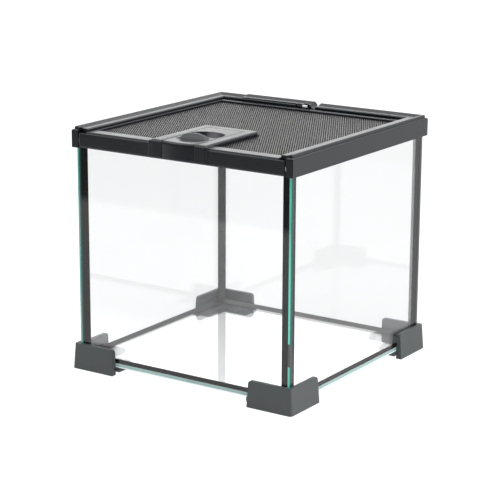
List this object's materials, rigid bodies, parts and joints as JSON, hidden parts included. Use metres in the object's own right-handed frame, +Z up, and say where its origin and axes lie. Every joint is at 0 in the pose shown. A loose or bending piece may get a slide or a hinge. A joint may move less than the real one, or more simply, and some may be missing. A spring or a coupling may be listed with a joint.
{
  "type": "reptile terrarium",
  "caption": "Small cube glass reptile terrarium on corner feet, with a moulded rim, a hinged mesh lid, a sprung sliding latch and a sliding cable cover.",
  "frame": {"origin": "middle of the footprint on the floor, under the feet", "axes": "+Z up, -Y towards the latch and the lid's free edge, +X to the right seen from the latch side"},
  "size_m": [0.2102, 0.2102, 0.2009],
  "materials": {
    "glass": "polished",
    "silicone": "satin",
    "foot_plastic": "fine texture",
    "rim_plastic": "satin",
    "lid_plastic": "satin",
    "screen": "black coated",
    "steel": "plain"
  },
  "bodies": {
    "tank": {"glass_floor": "glass", "glass_front": "glass", "glass_back": "glass", "glass_left": "glass", "glass_right": "glass", "seam_front_left": "silicone", "seam_front_right": "silicone", "seam_back_left": "silicone", "seam_back_right": "silicone", "seam_floor": "silicone", "foot_front_left": "foot_plastic", "foot_front_right": "foot_plastic", "foot_back_left": "foot_plastic", "foot_back_right": "foot_plastic", "rim_left": "rim_plastic", "rim_right": "rim_plastic", "rim_back": "rim_plastic", "rim_front": "rim_plastic", "latch_keeper": "rim_plastic"},
    "lid": {"lid_frame": "lid_plastic", "lid_mesh": "screen", "mesh_retainer": "lid_plastic", "hinge_pin_left": "steel", "hinge_pin_right": "steel", "latch_spring": "steel", "latch_cover": "lid_plastic", "latch_screws": "steel"},
    "latch": {"latch_slider": "lid_plastic"},
    "cover": {"cable_cover": "rim_plastic"}
  },
  "joints": [
    {"name": "lid_hinge", "type": "hinge", "parent": "tank", "child": "lid", "pos_m": [0, 0.0861, 0.1922], "axis": [-1, 0, 0], "range_deg": [0, 95]},
    {"name": "latch_slide", "type": "slide", "parent": "lid", "child": "latch", "axis": [0, -1, 0], "range_m": [0, 0.0045], "stiffness_N_per_m": 150, "springref_m": -0.004, "deforming": ["latch_spring"]},
    {"name": "cable_cover_slide", "type": "slide", "parent": "tank", "child": "cover", "axis": [1, 0, 0], "range_m": [-0.012, 0]}
  ]
}
